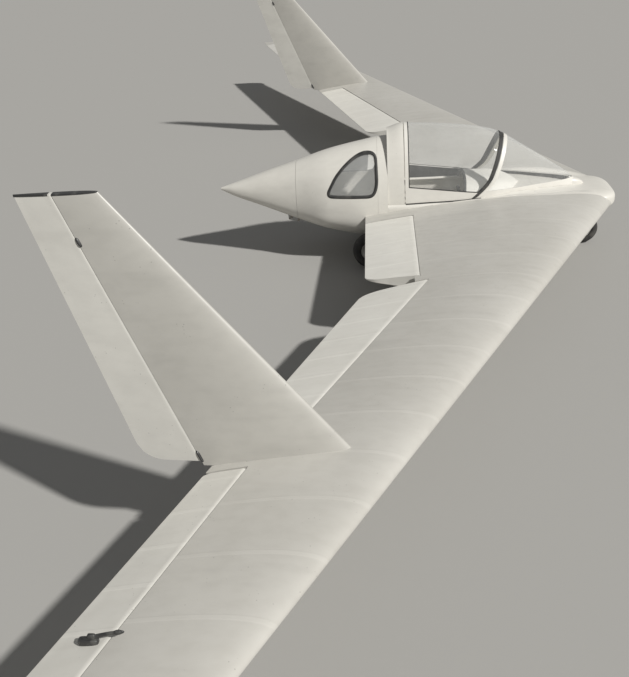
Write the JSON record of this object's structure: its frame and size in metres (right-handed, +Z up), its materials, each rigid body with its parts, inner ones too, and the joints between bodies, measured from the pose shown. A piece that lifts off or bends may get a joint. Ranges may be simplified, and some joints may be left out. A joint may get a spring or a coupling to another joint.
{
  "type": "tailless sailplane glider",
  "caption": "Single-seat tailless sailplane with a swept wing, twin fins on the wings and a short central pod under a bubble canopy.",
  "frame": {"origin": "on the ground under the centre of the bounding box, in the centre plane", "axes": "+X to port along the span, -Y to the nose, +Z up; the wheels stand on z = 0"},
  "size_m": [15, 4.061, 2.001],
  "materials": {
    "skin": "aged warm grey-white paint over fabric and ply, satin",
    "pod_cream": "off-white paint, satin",
    "control_cream": "lighter off-white paint over fabric, satin",
    "frame_paint": "off-white paint with dark seals, satin",
    "glass": "clear blown acrylic",
    "steel": "worn grey steel",
    "dark_metal": "dark enamel",
    "cabin_paint": "grey cabin paint, matt",
    "panel_paint": "black crackle paint",
    "stick_grip": "black moulded grip",
    "cloth": "dark brown woven cloth",
    "tyre": "black rubber, dusty",
    "rim": "cast light alloy"
  },
  "bodies": {
    "airframe": {"pod_nose": "skin", "pod_cabin": "pod_cream", "pod_rear": "pod_cream", "tail_cone": "pod_cream", "quarter_window_starboard": "glass", "quarter_window_port": "glass", "windscreen_glass": "glass", "windscreen_frame": "frame_paint", "canopy_hoop": "pod_cream", "hood_hinge": "steel", "seat_pan": "cabin_paint", "seat_cushion": "cloth", "rear_bulkhead": "cabin_paint", "headrest": "cloth", "instrument_panel": "panel_paint", "control_stick": "stick_grip", "rudder_pedals": "steel", "nose_fork": "steel", "main_axle": "steel", "tail_skid": "steel", "tow_hook": "steel", "wing_starboard": "skin", "wingtip_starboard": "skin", "fin_starboard": "skin", "wing_port": "skin", "wingtip_port": "skin", "fin_port": "skin"},
    "hood": {"hood_frame": "frame_paint", "hood_glass": "glass"},
    "nose_wheel": {"nose_wheel_tyre": "tyre", "nose_wheel_rim": "rim"},
    "centre_flap_starboard": {"centre_flap_starboard": "control_cream"},
    "inner_flap_starboard": {"inner_flap_starboard": "control_cream"},
    "elevon_starboard": {"elevon_starboard": "control_cream", "mass_balance_starboard": "dark_metal"},
    "rudder_starboard": {"rudder_starboard": "control_cream"},
    "main_wheel_starboard": {"main_wheel_starboard_tyre": "tyre", "main_wheel_starboard_rim": "rim"},
    "centre_flap_port": {"centre_flap_port": "control_cream"},
    "inner_flap_port": {"inner_flap_port": "control_cream"},
    "elevon_port": {"elevon_port": "control_cream", "mass_balance_port": "dark_metal"},
    "rudder_port": {"rudder_port": "control_cream"},
    "main_wheel_port": {"main_wheel_port_tyre": "tyre", "main_wheel_port_rim": "rim"}
  },
  "joints": [
    {"name": "hood_opening", "type": "hinge", "parent": "airframe", "child": "hood", "pos_m": [0.382, -0.5305, 0.604], "axis": [0, 1, 0], "range_deg": [0, 80]},
    {"name": "nose_wheel_roll", "type": "hinge", "parent": "airframe", "child": "nose_wheel", "pos_m": [0, -1.7925, 0.14], "axis": [1, 0, 0], "continuous": true},
    {"name": "main_wheel_starboard_roll", "type": "hinge", "parent": "airframe", "child": "main_wheel_starboard", "pos_m": [-0.434, 0.1595, 0.17], "axis": [1, 0, 0], "continuous": true},
    {"name": "main_wheel_port_roll", "type": "hinge", "parent": "airframe", "child": "main_wheel_port", "pos_m": [0.434, 0.1595, 0.17], "axis": [1, 0, 0], "continuous": true},
    {"name": "centre_flap_starboard_hinge", "type": "hinge", "parent": "airframe", "child": "centre_flap_starboard", "pos_m": [-0.592, -0.1945, 0.49351], "axis": [0.9992, 0, -0.0405], "range_deg": [-30, 10]},
    {"name": "inner_flap_starboard_hinge", "type": "hinge", "parent": "airframe", "child": "inner_flap_starboard", "pos_m": [-2.072, -0.2475, 0.55444], "axis": [0.9233, -0.3824, -0.0351], "range_deg": [-20, 20]},
    {"name": "elevon_starboard_hinge", "type": "hinge", "parent": "airframe", "child": "elevon_starboard", "pos_m": [-4.3, 0.7425, 0.63758], "axis": [0.949, -0.3129, -0.0378], "range_deg": [-20, 20]},
    {"name": "rudder_starboard_hinge", "type": "hinge", "parent": "airframe", "child": "rudder_starboard", "pos_m": [-4.2, 0.9635, 0.634], "axis": [0.0975, 0.3662, 0.9254], "range_deg": [-25, 25]},
    {"name": "centre_flap_port_hinge", "type": "hinge", "parent": "airframe", "child": "centre_flap_port", "pos_m": [0.592, -0.1945, 0.49351], "axis": [0.9992, 0, 0.0405], "range_deg": [-30, 10]},
    {"name": "inner_flap_port_hinge", "type": "hinge", "parent": "airframe", "child": "inner_flap_port", "pos_m": [2.072, -0.2475, 0.55444], "axis": [0.9233, 0.3824, 0.0351], "range_deg": [-20, 20]},
    {"name": "elevon_port_hinge", "type": "hinge", "parent": "airframe", "child": "elevon_port", "pos_m": [4.3, 0.7425, 0.63758], "axis": [0.949, 0.3129, 0.0378], "range_deg": [-20, 20]},
    {"name": "rudder_port_hinge", "type": "hinge", "parent": "airframe", "child": "rudder_port", "pos_m": [4.2, 0.9635, 0.634], "axis": [-0.0975, 0.3662, 0.9254], "range_deg": [-25, 25]}
  ]
}
